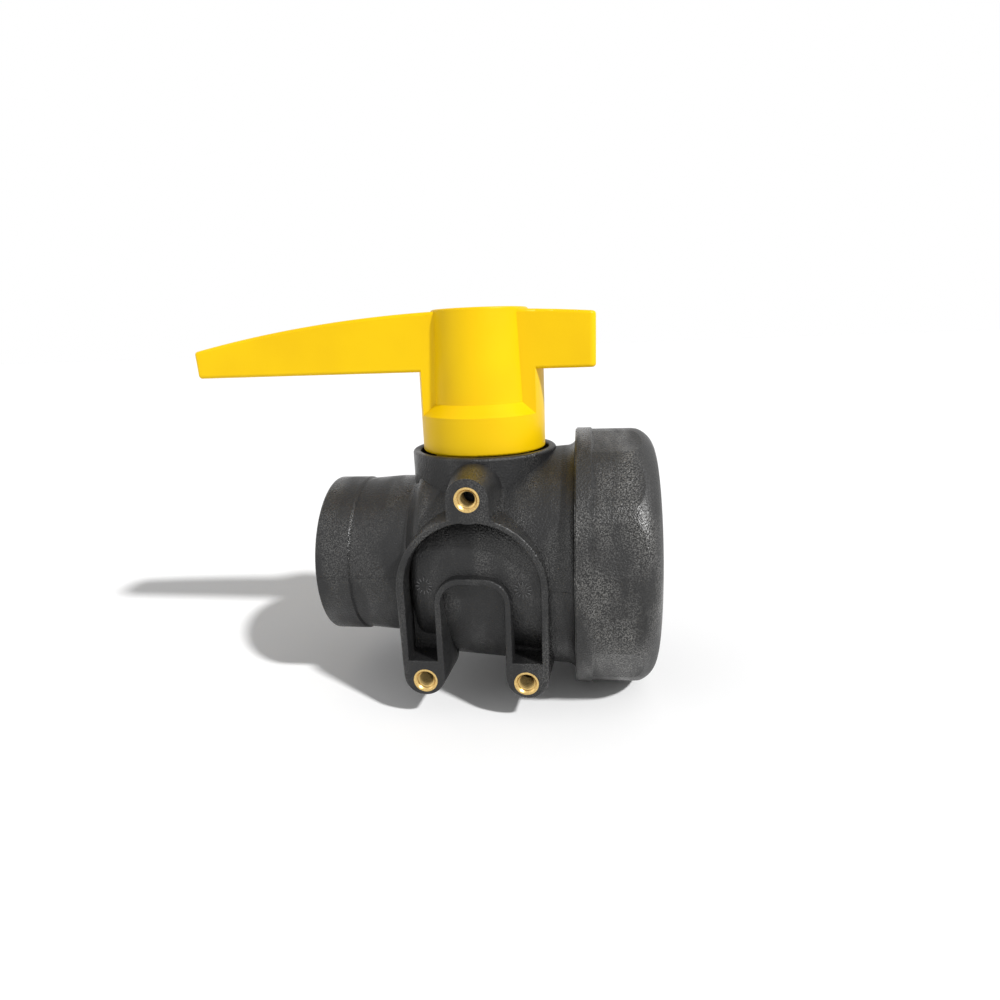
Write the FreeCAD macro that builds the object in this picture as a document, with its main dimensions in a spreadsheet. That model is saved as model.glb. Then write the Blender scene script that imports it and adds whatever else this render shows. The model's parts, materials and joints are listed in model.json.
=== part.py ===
import FreeCAD, Part
import Sketcher
import math
import os

# Tank outlet ball valve with a swivelling union nut, in millimetres.
# +X runs along the flow towards the tank, +Z up the stem, -Y towards the mounting face.
# The origin is the centre of the ball, where the flow axis and the stem axis cross.

os.makedirs("parts", exist_ok=True)
doc = FreeCAD.newDocument("tank_valve")
sheet = doc.addObject("Spreadsheet::Sheet", "Sizes")


class Size:
    """A size that knows its number and the spreadsheet formula that gives it."""

    def __init__(self, number, formula):
        self.number = float(number)
        self.formula = formula

    @staticmethod
    def of(value):
        return value if isinstance(value, Size) else Size(value, repr(float(value)))

    def _join(self, sign, other, number):
        return Size(number, "(%s %s %s)" % (self.formula, sign, other.formula))

    def __add__(self, other):
        other = Size.of(other)
        return self._join("+", other, self.number + other.number)

    def __sub__(self, other):
        other = Size.of(other)
        return self._join("-", other, self.number - other.number)

    def __mul__(self, other):
        other = Size.of(other)
        return self._join("*", other, self.number * other.number)

    def __truediv__(self, other):
        other = Size.of(other)
        return self._join("/", other, self.number / other.number)

    def __radd__(self, other):
        return Size.of(other) + self

    def __rsub__(self, other):
        return Size.of(other) - self

    def __rmul__(self, other):
        return Size.of(other) * self

    def __neg__(self):
        return Size(-self.number, "(0 - %s)" % self.formula)


CENTRE = Size(0.0, "0 * 1")


def root(value):
    return Size(math.sqrt(value.number), "sqrt(%s)" % value.formula)


def leg(longest, other):
    """The remaining leg of a right triangle, such as a circle's height at an offset."""
    longest, other = Size.of(longest), Size.of(other)
    return root(longest * longest - other * other)


def sine(angle):
    angle = Size.of(angle)
    return Size(math.sin(math.radians(angle.number)), "sin(%s * 1 deg)" % angle.formula)


def cosine(angle):
    angle = Size.of(angle)
    return Size(math.cos(math.radians(angle.number)), "cos(%s * 1 deg)" % angle.formula)


# ---------------------------------------------------------------- driving dimensions
DRIVING = [
    # flow path and ball
    ("flow_bore", 19.0), ("ball_radius", 28.5), ("ball_gap", 0.2), ("cavity_gap", 0.8),
    ("fit_gap", 0.1), ("running_gap", 0.05), ("swivel_gap", 0.3),
    # outlet socket, whose wall stands at the root of a G 1 1/2 female thread
    ("socket_end", 59.0), ("socket_radius", 30.0), ("socket_thread", 23.9), ("socket_depth", 23.0),
    ("socket_land", 12.2), ("socket_root_radius", 30.4), ("socket_waist_radius", 29.4),
    ("socket_edge", 0.8), ("waist_run", 0.7), ("mouth_chamfer", 1.6),
    # barrel
    ("shoulder_x", 25.4), ("shoulder_run", 4.4), ("barrel_left_radius", 37.7),
    ("barrel_right_radius", 41.3), ("barrel_end", 33.7), ("flare_radius", 42.9), ("flare_run", 2.6),
    ("root_run", 8.0), ("root_round", 1.5), ("barrel_round", 3.4), ("flare_round", 4.0),
    # collar round the stem
    ("collar_radius", 26.7), ("collar_wall", 2.8), ("collar_top", 42.0), ("recess_floor", 36.0),
    ("gland_radius", 15.5), ("gland_top", 49.5), ("gland_chamfer", 1.0), ("collar_round", 1.0),
    ("collar_inner_round", 0.8),
    # stem
    ("stem_radius", 10.0), ("stem_flange_radius", 13.4), ("stem_flange_base", 28.9),
    ("stem_flange_height", 2.5), ("washer_height", 1.4), ("stem_square", 13.0), ("stem_top", 64.0),
    ("tang_width", 9.7), ("tang_length", 22.0), ("tang_depth", 6.3), ("oring_section", 1.2),
    # seats
    ("seat_radius", 25.0), ("seat_back", 25.0), ("seat_front", 15.2), ("seat_bore", 19.3),
    ("seat_pocket", 3.5), ("energiser_radius", 22.0),
    # end connector and union nut, whose wall stands at the root of its S75x6 thread
    ("thread_start", 23.0), ("connector_thread", 31.0), ("nut_face", 34.0), ("nut_wall", 4.7),
    ("flange_radius", 34.4), ("flange_height", 6.0), ("gasket_height", 3.0), ("nut_end", 62.5),
    ("nut_radius", 47.8), ("nut_body_radius", 47.5), ("nut_band", 5.5), ("nut_round", 9.5),
    ("nut_thread", 37.5), ("nut_relief", 38.3), ("nut_flats", 13.0), ("flat_apothem", 46.7),
    ("flat_turn", 15.3),
    # mounting plate
    ("plate_face", 42.5), ("plate_depth", 19.5), ("plate_floor", 10.2), ("arch_radius", 25.7),
    ("rim_width", 2.1), ("recess_rise", 0.9), ("leg_end_x", 25.0), ("leg_radius", 7.15),
    ("leg_end_z", 31.0), ("insert_chamfer", 0.5), ("insert_waist", 0.7),
    ("notch_half", 10.8), ("notch_wall", 2.2), ("notch_top", 2.5), ("notch_round", 7.0),
    ("insert_spacing", 35.0), ("insert_z", 32.6), ("boss_z", 31.6), ("boss_radius", 7.0),
    ("insert_radius", 4.2), ("insert_length", 10.0), ("insert_thread", 3.0), ("boss_draft", 7.0),
    ("boss_pad_radius", 8.1), ("boss_fillet", 3.0), ("plate_draft", 4.0), ("leg_recess_end", 25.3),
    ("plate_round", 0.7),
    # lever handle
    ("hub_radius", 22.7), ("hub_bottom", 41.7), ("hub_shelf", 54.9), ("boss_top_radius", 17.5),
    ("boss_root_radius", 18.6),
    ("lever_half", 10.0), ("lever_bottom", 70.3), ("lever_top", 91.1), ("lever_arc", 490.0),
    ("lever_crest_x", 3.0), ("lever_tip", 106.4), ("lever_tip_half", 8.8), ("tail_end", 41.4),
    ("lever_wall", 2.8), ("disc_rise", 0.5), ("washer_seat", 67.0), ("head_bore", 8.5),
    ("stop_angle", 44.0), ("turn_angle", 90.0), ("stop_height", 4.6), ("edge_round", 1.2),
    ("tail_round", 2.2), ("shelf_round", 0.8), ("pit_gap", 0.8), ("core_start", 4.0), ("rib", 1.8),
    # stops: on the recess floor, and the lugs below the hub that meet them
    ("stop_centre", 112.5),
    # screw and washer
    ("screw_hole", 3.3), ("screw_length", 20.0), ("screw_radius", 2.95), ("screw_chamfer", 0.55),
    ("screw_depth", 18.0), ("head_radius", 5.25), ("head_height", 3.3), ("head_edge", 0.8),
    ("head_round", 3.4), ("handle_washer_hole", 3.1), ("handle_washer_gap", 1.2),
    ("handle_washer_height", 1.2),
]
for row, (alias, number) in enumerate(DRIVING, start=1):
    sheet.set("A%d" % row, alias.replace("_", " "))
    sheet.set("B%d" % row, str(number))
    sheet.setAlias("B%d" % row, alias)
doc.recompute()


class Sizes:
    """The sheet's cells as Size values, read by alias."""

    def __getattr__(self, alias):
        return Size(sheet.get(alias), "Sizes." + alias)


s = Sizes()


# ---------------------------------------------------------------- sketch and feature helpers
def new_body(label):
    body = doc.addObject("PartDesign::Body", label)
    body.Label = label
    return body


def origin_plane(body, role):
    return [item for item in body.Origin.OriginFeatures if item.Role == role][0]


def new_sketch(body, name, role, offset=0.0, tilt=0.0):
    """An empty sketch on one of the body's own origin planes, moved along its normal or
    tilted about its own horizontal axis."""
    sketch = body.newObject("Sketcher::SketchObject", name)
    sketch.AttachmentSupport = (origin_plane(body, role), [""])
    sketch.MapMode = "FlatFace"
    offset = Size.of(offset)
    tilt = Size.of(tilt)
    turn = FreeCAD.Rotation(FreeCAD.Vector(1, 0, 0), tilt.number)
    sketch.AttachmentOffset = FreeCAD.Placement(FreeCAD.Vector(0, 0, offset.number), turn)
    if tilt.number:
        sketch.setExpression("AttachmentOffset.Rotation.Angle", tilt.formula)
    if offset.formula != "0.0":
        sketch.setExpression("AttachmentOffset.Base.z", offset.formula)
    return sketch


def arc_centre(start, end, radius):
    """Centre of the arc from start to end; a positive radius turns anticlockwise."""
    middle = (start + end) / 2
    chord = end - start
    rise = math.sqrt(max(radius * radius - (chord.Length / 2) ** 2, 0.0))
    normal = FreeCAD.Vector(-chord.y, chord.x, 0).normalize()
    return middle + normal * (rise if radius > 0 else -rise)


def outline(sketch, points):
    """Closed outline. Each point is (x, y) or (x, y, radius), where the radius belongs to the
    arc that leaves it, positive when the arc turns anticlockwise. Each is bound to the sheet."""
    places = [FreeCAD.Vector(Size.of(p[0]).number, Size.of(p[1]).number, 0) for p in points]
    pieces, limits = [], []
    count = len(points)
    for index, point in enumerate(points):
        start, end = places[index], places[(index + 1) % count]
        if len(point) == 2:
            pieces.append(Part.LineSegment(start, end))
            continue
        radius = Size.of(point[2]).number
        centre = arc_centre(start, end, radius)
        first, last = (start, end) if radius > 0 else (end, start)
        circle = Part.Circle(centre, FreeCAD.Vector(0, 0, 1), abs(radius))
        pieces.append(Part.ArcOfCircle(circle, math.atan2(first.y - centre.y, first.x - centre.x),
                                       math.atan2(last.y - centre.y, last.x - centre.x)))
    first_piece = sketch.GeometryCount
    sketch.addGeometry(pieces, False)
    start_end = [(1, 2) if len(p) == 2 or Size.of(p[2]).number > 0 else (2, 1) for p in points]
    rules = []
    for index, point in enumerate(points):
        piece, begin = first_piece + index, start_end[index][0]
        following = (index + 1) % count
        rules.append(Sketcher.Constraint("Coincident", piece, start_end[index][1],
                                         first_piece + following, start_end[following][0]))
        for kind, value, axis in (("DistanceX", point[0], -2), ("DistanceY", point[1], -1)):
            value = Size.of(value)
            if value.formula == "0.0":
                rules.append(Sketcher.Constraint("PointOnObject", piece, begin, axis))
                continue
            limits.append((len(rules), value))
            rules.append(Sketcher.Constraint(kind, -1, 1, piece, begin, value.number))
        if len(point) == 3:
            radius = Size.of(point[2])
            radius = radius if radius.number > 0 else -radius
            limits.append((len(rules), radius))
            rules.append(Sketcher.Constraint("Radius", piece, radius.number))
    first_rule = sketch.ConstraintCount
    sketch.addConstraint(rules)
    for index, value in limits:
        sketch.setExpression("Constraints[%d]" % (first_rule + index), value.formula)
    return sketch


def disc(sketch, x, y, radius):
    x, y, radius = Size.of(x), Size.of(y), Size.of(radius)
    piece = sketch.addGeometry(Part.Circle(FreeCAD.Vector(x.number, y.number, 0),
                                           FreeCAD.Vector(0, 0, 1), radius.number), False)
    first_rule = sketch.ConstraintCount
    sketch.addConstraint([Sketcher.Constraint("DistanceX", -1, 1, piece, 3, x.number),
                          Sketcher.Constraint("DistanceY", -1, 1, piece, 3, y.number),
                          Sketcher.Constraint("Radius", piece, radius.number)])
    for index, value in enumerate((x, y, radius)):
        sketch.setExpression("Constraints[%d]" % (first_rule + index), value.formula)
    return sketch


def volume(body):
    return body.Shape.Volume if body.Shape and not body.Shape.isNull() else 0.0


def settle(body, feature, adds):
    """Recompute, and stop if a feature left the solid as it was or moved it the wrong way."""
    before = settle.volumes.get(body.Name, 0.0)
    body.Tip = feature
    doc.recompute()
    after = volume(body)
    changed = after - before if adds else before - after
    if "Invalid" in feature.State or changed <= 1e-6:
        raise RuntimeError("%s / %s changed nothing: %s" % (body.Label, feature.Label, feature.State))
    settle.volumes[body.Name] = after
    return feature


settle.volumes = {}


def extrude(body, name, sketch, length, cut=False, reverse=False, both=False, draft=None):
    feature = body.newObject("PartDesign::Pocket" if cut else "PartDesign::Pad", name)
    feature.Profile = sketch
    length = Size.of(length)
    feature.Length = length.number
    feature.setExpression("Length", length.formula)
    feature.Reversed = reverse
    if both:
        feature.SideType = "Symmetric"
    if draft is not None:
        feature.TaperAngle = draft.number
        feature.setExpression("TaperAngle", draft.formula)
    return settle(body, feature, not cut)


def revolve(body, name, sketch, axis, cut=False):
    feature = body.newObject("PartDesign::Groove" if cut else "PartDesign::Revolution", name)
    feature.Profile = sketch
    feature.ReferenceAxis = (sketch, [axis])
    feature.Angle = 360.0
    return settle(body, feature, not cut)


def polar(body, name, feature, role, count, adds):
    pattern = body.newObject("PartDesign::PolarPattern", name)
    pattern.Originals = [feature]
    pattern.Axis = ([item for item in body.Origin.OriginFeatures if item.Role == role][0], [""])
    pattern.Angle = 360.0
    count = Size.of(count)
    pattern.Occurrences = int(count.number)
    pattern.setExpression("Occurrences", count.formula)
    return settle(body, pattern, adds)


def mirrored(body, name, features, role, adds):
    mirror = body.newObject("PartDesign::Mirrored", name)
    mirror.Originals = features
    mirror.MirrorPlane = (origin_plane(body, role), [""])
    return settle(body, mirror, adds)


def round_edges(body, name, radius, wanted):
    """Fillet the edges of the body's present solid for which wanted(edge) is true."""
    base = body.Tip
    names = ["Edge%d" % number for number, edge in enumerate(base.Shape.Edges, start=1) if wanted(edge)]
    if not names:
        raise RuntimeError("no edge to round for " + name)
    feature = body.newObject("PartDesign::Fillet", name)
    feature.Base = (base, names)
    radius = Size.of(radius)
    feature.Radius = radius.number
    feature.setExpression("Radius", radius.formula)
    body.Tip = feature
    doc.recompute()
    if "Invalid" in feature.State:
        raise RuntimeError("%s / %s failed" % (body.Label, name))
    settle.volumes[body.Name] = volume(body)
    return feature


def near(value, size, slack=0.01):
    return abs(value - Size.of(size).number) < slack


# ---------------------------------------------------------------- valve body
def make_valve_body():
    body = new_body("valve_body")

    # horseshoe mounting plate, open towards -Z, with a recess that leaves a rim round it
    leg_x = s.leg_end_x - s.leg_radius
    sketch = new_sketch(body, "plate_outline", "XZ_Plane", s.plate_face)
    outline(sketch, [
        (s.arch_radius, 0.0, s.arch_radius), (0.0, s.arch_radius, s.arch_radius),
        (-s.arch_radius, 0.0), (-s.leg_end_x, -s.leg_end_z, s.leg_radius),
        (-leg_x, -(s.leg_end_z + s.leg_radius), s.leg_radius),
        (-(leg_x - s.leg_radius), -s.leg_end_z),
        (-s.notch_half, s.notch_top - s.notch_round, -s.notch_round),
        (-(s.notch_half - s.notch_round), s.notch_top),
        (s.notch_half - s.notch_round, s.notch_top, -s.notch_round),
        (s.notch_half, s.notch_top - s.notch_round), (leg_x - s.leg_radius, -s.leg_end_z, s.leg_radius),
        (leg_x, -(s.leg_end_z + s.leg_radius), s.leg_radius), (s.leg_end_x, -s.leg_end_z),
    ])
    extrude(body, "plate", sketch, s.plate_depth, reverse=True, draft=s.plate_draft)

    wall = s.notch_half + s.notch_wall
    web_round = s.notch_round + s.notch_wall
    inner = s.leg_end_x - s.rim_width
    sketch = new_sketch(body, "recess_outline", "XZ_Plane", s.plate_face)
    outline(sketch, [
        (inner, s.recess_rise, inner), (CENTRE, inner + s.recess_rise, inner),
        (-inner, s.recess_rise), (-inner, -s.leg_recess_end), (-wall, -s.leg_recess_end),
        (-wall, s.notch_top + s.notch_wall - web_round, -web_round),
        (-(wall - web_round), s.notch_top + s.notch_wall),
        (wall - web_round, s.notch_top + s.notch_wall, -web_round),
        (wall, s.notch_top + s.notch_wall - web_round), (wall, -s.leg_recess_end),
        (inner, -s.leg_recess_end),
    ])
    extrude(body, "recess", sketch, s.plate_floor, cut=True)

    face = -s.plate_face.number
    round_edges(body, "plate_rounds", s.plate_round, lambda edge: (
        near(edge.BoundBox.YMax, face) and near(edge.BoundBox.YMin, face)))

    # boss of the upper insert: a drafted round boss that runs back into the collar, and a
    # round pad below it that reaches into the recess
    centre_x, reach = s.boss_radius + s.boss_fillet, s.arch_radius + s.boss_fillet
    fillet_z = leg(reach, centre_x)
    foot_x, foot_z = centre_x * s.arch_radius / reach, fillet_z * s.arch_radius / reach
    sketch = new_sketch(body, "boss_outline", "XZ_Plane", s.plate_face)
    outline(sketch, [
        (s.boss_radius, s.boss_z, s.boss_radius), (CENTRE, s.boss_z + s.boss_radius, s.boss_radius),
        (-s.boss_radius, s.boss_z), (-s.boss_radius, foot_z), (s.boss_radius, foot_z),
    ])
    extrude(body, "boss", sketch, s.plate_face - s.collar_radius + 4.0, reverse=True, draft=s.boss_draft)
    sketch = new_sketch(body, "boss_foot_outline", "XZ_Plane", s.plate_face - s.plate_floor)
    outline(sketch, [
        (s.boss_radius, fillet_z), (-s.boss_radius, fillet_z, -s.boss_fillet),
        (-foot_x, foot_z), (foot_x, foot_z, -s.boss_fillet),
    ])
    extrude(body, "boss_foot", sketch, s.plate_floor)
    pad_x = leg(s.boss_pad_radius, s.boss_z - s.arch_radius + 1.0)
    sketch = new_sketch(body, "boss_pad_outline", "XZ_Plane", s.plate_face - s.plate_floor - 1.0)
    outline(sketch, [
        (-pad_x, s.arch_radius - 1.0, s.boss_pad_radius), (pad_x, s.arch_radius - 1.0),
    ])
    extrude(body, "boss_pad", sketch, s.plate_floor + 1.0)

    # socket and barrel, one turned form about the flow axis
    shoulder_top = s.shoulder_x - s.shoulder_run
    waist = s.socket_end - s.socket_land
    sketch = new_sketch(body, "barrel_profile", "XZ_Plane")
    outline(sketch, [
        (-s.socket_end, 0.0), (-s.socket_end, s.socket_radius - s.socket_edge, -s.socket_edge),
        (-(s.socket_end - s.socket_edge), s.socket_radius), (-waist, s.socket_radius),
        (-(waist - s.waist_run), s.socket_waist_radius),
        (-(s.shoulder_x + s.root_run), s.socket_root_radius),
        (-(s.shoulder_x + 0.4 * s.root_round), s.socket_root_radius, s.root_round),
        (-(s.shoulder_x - 0.5 * s.root_round), s.socket_root_radius + 0.8 * s.root_round),
        (-(shoulder_top + 0.35 * s.barrel_round), s.barrel_left_radius - 0.88 * s.barrel_round,
         -s.barrel_round),
        (-(shoulder_top - 0.6 * s.barrel_round), s.barrel_left_radius),
        (s.barrel_end - s.flare_run, s.barrel_right_radius, s.flare_round),
        (s.barrel_end, s.flare_radius), (s.barrel_end, 0.0),
    ])
    revolve(body, "barrel", sketch, "H_Axis")

    # collar round the stem, with the gland that the stem seals in
    collar_bore = s.collar_radius - s.collar_wall
    sketch = new_sketch(body, "collar_profile", "XZ_Plane")
    outline(sketch, [
        (0.0, 0.0), (s.collar_radius, 0.0),
        (s.collar_radius, s.collar_top - s.collar_round, s.collar_round),
        (s.collar_radius - s.collar_round, s.collar_top),
        (collar_bore + s.collar_inner_round, s.collar_top, s.collar_inner_round),
        (collar_bore, s.collar_top - s.collar_inner_round), (collar_bore, s.recess_floor),
        (s.gland_radius, s.recess_floor), (s.gland_radius, s.gland_top - s.gland_chamfer),
        (s.gland_radius - s.gland_chamfer, s.gland_top), (0.0, s.gland_top),
    ])
    revolve(body, "collar", sketch, "V_Axis")

    # flow path: socket, bore, seat pocket, ball cavity and the connector's thread
    cavity = s.ball_radius + s.cavity_gap
    socket_floor = s.socket_end - s.socket_depth
    pocket = s.seat_radius + s.fit_gap
    pocket_lip = s.seat_back - s.seat_pocket
    connector_hole = s.connector_thread + s.fit_gap
    sketch = new_sketch(body, "flow_profile", "XZ_Plane")
    outline(sketch, [
        (-(s.socket_end + 1.0), 0.0), (-(s.socket_end + 1.0), s.socket_thread + s.mouth_chamfer + 1.0),
        (-(s.socket_end - s.mouth_chamfer), s.socket_thread), (-socket_floor, s.socket_thread),
        (-socket_floor, s.flow_bore + s.mouth_chamfer),
        (-(socket_floor - s.mouth_chamfer), s.flow_bore),
        (-s.seat_back, s.flow_bore), (-s.seat_back, pocket), (-pocket_lip, pocket),
        (-(pocket_lip - 2.5), cavity), (s.thread_start, cavity), (s.thread_start, connector_hole),
        (s.barrel_end - 1.4, connector_hole), (s.barrel_end + 0.6, connector_hole + 2.0),
        (s.barrel_end + 0.6, 0.0),
    ])
    revolve(body, "flow_path", sketch, "H_Axis", cut=True)

    # annular recess between gland and collar, cut through what the barrel filled
    sketch = new_sketch(body, "annulus_profile", "XZ_Plane")
    outline(sketch, [
        (s.gland_radius, s.recess_floor), (collar_bore, s.recess_floor),
        (collar_bore, s.collar_top + 1.0), (s.gland_radius, s.collar_top + 1.0),
    ])
    revolve(body, "annulus", sketch, "V_Axis", cut=True)

    # stem bore with the pocket that holds the stem's flange and its washer
    flange_pocket = s.stem_flange_radius + s.swivel_gap
    pocket_top = s.stem_flange_base + s.stem_flange_height + s.washer_height + 2 * s.fit_gap
    stem_bore = s.stem_radius + s.running_gap
    sketch = new_sketch(body, "stem_bore_profile", "XZ_Plane")
    outline(sketch, [
        (0.0, 0.0), (flange_pocket, 0.0), (flange_pocket, pocket_top), (stem_bore, pocket_top),
        (stem_bore, s.gland_top - 0.6), (stem_bore + 1.0, s.gland_top + 0.4), (0.0, s.gland_top + 0.4),
    ])
    revolve(body, "stem_bore", sketch, "V_Axis", cut=True)

    # two stops on the recess floor, which the lugs under the handle meet
    sketch = new_sketch(body, "stop_outline", "XY_Plane", s.recess_floor - 0.5)
    sector(sketch, s.gland_radius + 2.0, collar_bore + 0.5, s.stop_centre - s.stop_angle / 2,
           s.stop_centre + s.stop_angle / 2)
    stop = extrude(body, "stop", sketch, s.stop_height + 0.5)
    polar(body, "stops", stop, "Z_Axis", 2, True)

    # blind holes that the brass inserts are moulded into
    depth = s.insert_length + 0.5
    sketch = new_sketch(body, "insert_holes", "XZ_Plane", s.plate_face)
    for x, z in ((s.insert_spacing / 2, -s.insert_z), (-s.insert_spacing / 2, -s.insert_z),
                 (CENTRE, s.boss_z)):
        disc(sketch, x, z, s.insert_radius)
    extrude(body, "insert_pockets", sketch, depth, cut=True)
    return body


def sector(sketch, inner, outer, start, end):
    """A piece of a ring between two angles, drawn anticlockwise."""
    outline(sketch, [
        (inner * cosine(start), inner * sine(start)),
        (outer * cosine(start), outer * sine(start), outer),
        (outer * cosine(end), outer * sine(end)),
        (inner * cosine(end), inner * sine(end), -inner),
    ])


# ---------------------------------------------------------------- seals and seats
def make_ring(label, centre, section, axis, place):
    """An O-ring whose axis is X or Z, at a place along that axis, with an eight-sided section."""
    body = new_body(label)
    sketch = new_sketch(body, "ring_profile", "XZ_Plane")
    reach, side = section, section * (math.sqrt(2.0) - 1.0)
    points = []
    for along, out in ((-side, -reach), (side, -reach), (reach, -side), (reach, side),
                       (side, reach), (-side, reach), (-reach, side), (-reach, -side)):
        points.append((place + along, centre + out) if axis == "X" else (centre + out, place + along))
    outline(sketch, points)
    revolve(body, "ring", sketch, "H_Axis" if axis == "X" else "V_Axis")
    return body


def make_seat(label, side):
    """Seat ring whose dished face follows the ball; side is -1 at the outlet, +1 at the tank."""
    body = new_body(label)
    touch = s.ball_radius + s.ball_gap
    lip = s.seat_radius - 1.6
    groove = 2 * s.oring_section + s.fit_gap
    back = s.seat_back - s.running_gap
    sketch = new_sketch(body, "ring_profile", "XZ_Plane")
    points = [
        (side * leg(touch, s.seat_bore), s.seat_bore, side * touch),
        (side * leg(touch, lip), lip), (side * (leg(touch, lip) - 0.01), s.seat_radius),
        (side * back, s.seat_radius), (side * back, s.energiser_radius + groove / 2),
        (side * (back - groove), s.energiser_radius + groove / 2),
        (side * (back - groove), s.energiser_radius - groove / 2),
        (side * back, s.energiser_radius - groove / 2), (side * back, s.seat_bore),
    ]
    outline(sketch, points)
    revolve(body, "ring", sketch, "H_Axis")
    return body


def make_gasket():
    body = new_body("tank_gasket")
    start = s.nut_face + s.nut_wall + s.swivel_gap + s.flange_height
    sketch = new_sketch(body, "ring_profile", "XZ_Plane")
    outline(sketch, [
        (start, s.flow_bore + 4.0), (start + s.gasket_height, s.flow_bore + 4.0),
        (start + s.gasket_height, s.flange_radius), (start, s.flange_radius),
    ])
    revolve(body, "ring", sketch, "H_Axis")
    return body


# ---------------------------------------------------------------- end connector and union nut
def make_connector():
    """Screwed into the barrel; its flange pulls the valve to the tank and keeps the nut."""
    body = new_body("end_connector")
    spigot = s.ball_radius + s.cavity_gap - s.fit_gap
    pocket = s.seat_radius + s.fit_gap
    groove_floor = spigot - 2 * s.oring_section
    groove_start = s.thread_start - 4.6
    flange_start = s.nut_face + s.nut_wall + s.swivel_gap
    flange_end = flange_start + s.flange_height
    lip = s.seat_back - s.seat_pocket - 3.6
    sketch = new_sketch(body, "connector_profile", "XZ_Plane")
    outline(sketch, [
        (lip, pocket), (s.seat_back, pocket), (s.seat_back, s.flow_bore), (flange_end, s.flow_bore),
        (flange_end, s.flange_radius - 0.6), (flange_end - 0.6, s.flange_radius),
        (flange_start, s.flange_radius), (flange_start, s.connector_thread),
        (s.thread_start + 0.4, s.connector_thread), (s.thread_start + 0.4, spigot),
        (groove_start + 2.6, spigot), (groove_start + 2.6, groove_floor),
        (groove_start, groove_floor), (groove_start, spigot), (lip, spigot),
    ])
    revolve(body, "connector", sketch, "H_Axis")
    return body


def make_nut():
    """Round nut with an inward wall that the connector's flange holds, and flats to grip."""
    body = new_body("union_nut")
    wall_end = s.nut_face + s.nut_wall
    relief_end = wall_end + s.swivel_gap + s.flange_height + s.gasket_height
    shaft_hole = s.connector_thread + s.swivel_gap
    band_end = s.nut_face + s.nut_band
    sketch = new_sketch(body, "nut_profile", "XZ_Plane")
    outline(sketch, [
        (s.nut_face, shaft_hole), (s.nut_face, s.nut_body_radius),
        (s.nut_end - s.nut_round, s.nut_body_radius, -s.nut_round),
        (s.nut_end, s.nut_body_radius - s.nut_round), (s.nut_end, s.nut_thread),
        (relief_end + 1.0, s.nut_thread), (relief_end, s.nut_relief), (wall_end, s.nut_relief),
        (wall_end, shaft_hole),
    ])
    revolve(body, "nut", sketch, "H_Axis")

    # grip flats along the whole nut, then the round band that closes their left ends
    sketch = new_sketch(body, "flat_side", "XZ_Plane", tilt=s.flat_turn)
    outline(sketch, [
        (s.nut_face - 1.0, s.flat_apothem), (s.nut_end + 1.0, s.flat_apothem),
        (s.nut_end + 1.0, s.nut_radius + 1.0), (s.nut_face - 1.0, s.nut_radius + 1.0),
    ])
    flat = extrude(body, "flat", sketch, 3 * leg(s.nut_body_radius, s.flat_apothem), cut=True, both=True)
    polar(body, "flats", flat, "X_Axis", s.nut_flats, False)
    slope = s.nut_radius - s.flat_apothem + 0.5
    sketch = new_sketch(body, "band_profile", "XZ_Plane")
    outline(sketch, [
        (s.nut_face, s.flat_apothem - 0.5), (s.nut_face, s.nut_radius - 0.6),
        (s.nut_face + 0.6, s.nut_radius), (band_end, s.nut_radius),
        (band_end + slope, s.nut_radius - slope),
    ])
    revolve(body, "band", sketch, "H_Axis")
    return body


# ---------------------------------------------------------------- ball and stem
def make_ball():
    body = new_body("ball")
    mouth = leg(s.ball_radius, s.flow_bore)
    sketch = new_sketch(body, "ball_profile", "XZ_Plane")
    outline(sketch, [(-mouth, s.flow_bore), (mouth, s.flow_bore, s.ball_radius)])
    revolve(body, "sphere", sketch, "H_Axis")

    # slot across the flow, so that the closed ball can float against its seat
    floor = s.stem_flange_base - s.tang_depth - s.swivel_gap
    half = s.tang_width / 2 + 0.15
    sketch = new_sketch(body, "slot_outline", "YZ_Plane", -half)
    outline(sketch, [
        (-s.ball_radius, floor), (s.ball_radius, floor), (s.ball_radius, s.ball_radius + 1.0),
        (-s.ball_radius, s.ball_radius + 1.0),
    ])
    extrude(body, "slot", sketch, 2 * half, cut=True, reverse=True)
    return body


def ring_levels():
    base = s.stem_flange_base + s.stem_flange_height + s.washer_height
    step = (s.gland_top - base) / 3
    return base + step, base + 2 * step


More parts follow.
